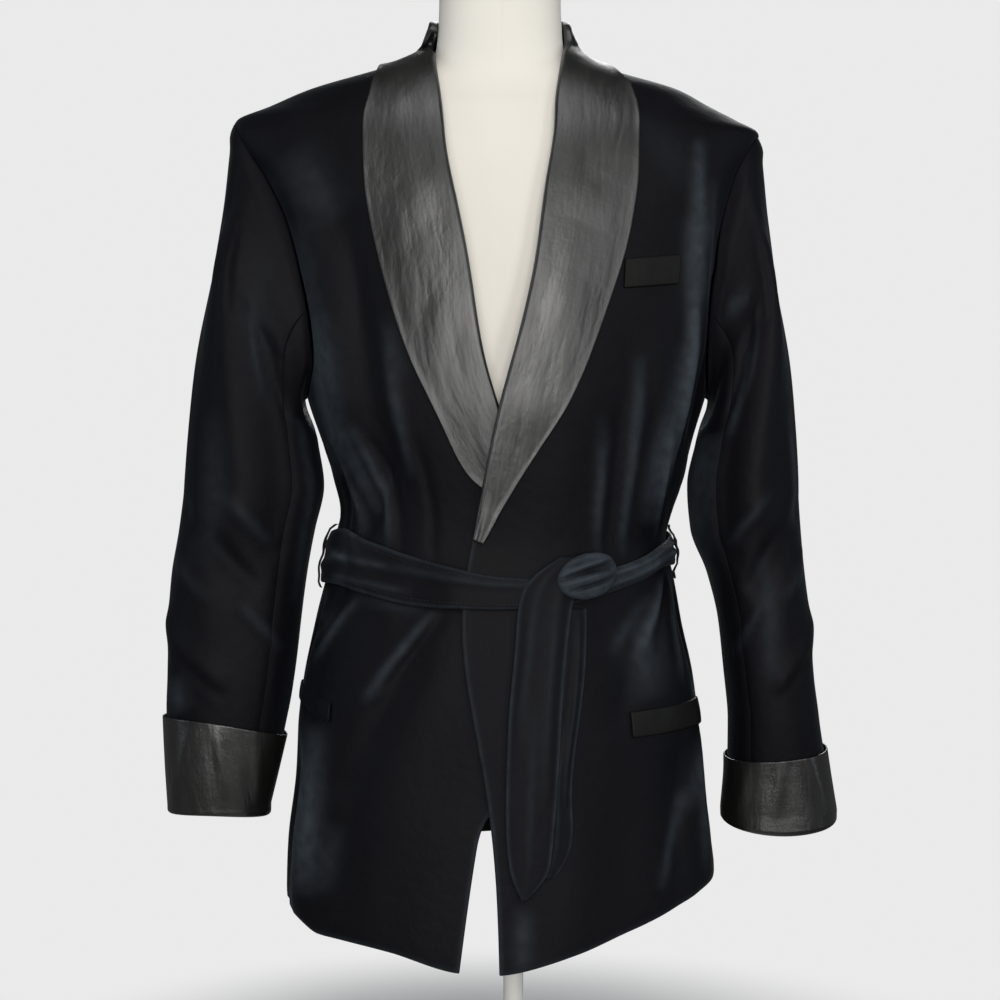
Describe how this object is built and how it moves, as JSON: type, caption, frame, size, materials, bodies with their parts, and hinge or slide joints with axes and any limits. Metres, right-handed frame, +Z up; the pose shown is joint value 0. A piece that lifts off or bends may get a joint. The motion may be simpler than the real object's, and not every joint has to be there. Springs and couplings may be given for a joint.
{
  "type": "smoking jacket on dress form",
  "caption": "Velvet smoking jacket with a satin shawl collar, turned-back cuffs and tie belt, hanging hollow on a limbless dress form with a round stand.",
  "frame": {"origin": "centre of the object's box on the surface it stands on, at the underside of the base", "axes": "+Z up, the jacket faces -Y, and the wearer's left side, which laps over, is at +X"},
  "size_m": [0.6042, 0.32, 0.985],
  "materials": {
    "velvet": "dark navy cotton velvet with a short nap and a cool sheen",
    "satin": "black satin with soft grey highlights",
    "linen": "matt cream linen",
    "lacquered_steel": "satin ivory lacquer"
  },
  "bodies": {
    "root": {"back_left_wearer": "velvet", "back_right_wearer": "velvet", "belt": "velvet", "belt_knot": "velvet", "belt_loop_left_wearer": "velvet", "belt_loop_right_wearer": "velvet", "belt_tail_front": "velvet", "belt_tail_rear": "velvet", "breast_welt": "satin", "collar_left_wearer": "satin", "collar_right_wearer": "satin", "cuff_left_wearer": "satin", "cuff_right_wearer": "satin", "dress_form": "linen", "front_left_wearer": "velvet", "front_right_wearer": "velvet", "hip_welt_left_wearer": "satin", "hip_welt_right_wearer": "velvet", "sleeve_top_left_wearer": "velvet", "sleeve_top_right_wearer": "velvet", "sleeve_under_left_wearer": "velvet", "sleeve_under_right_wearer": "velvet", "stand_base": "lacquered_steel", "stand_pole": "lacquered_steel"}
  },
  "joints": []
}
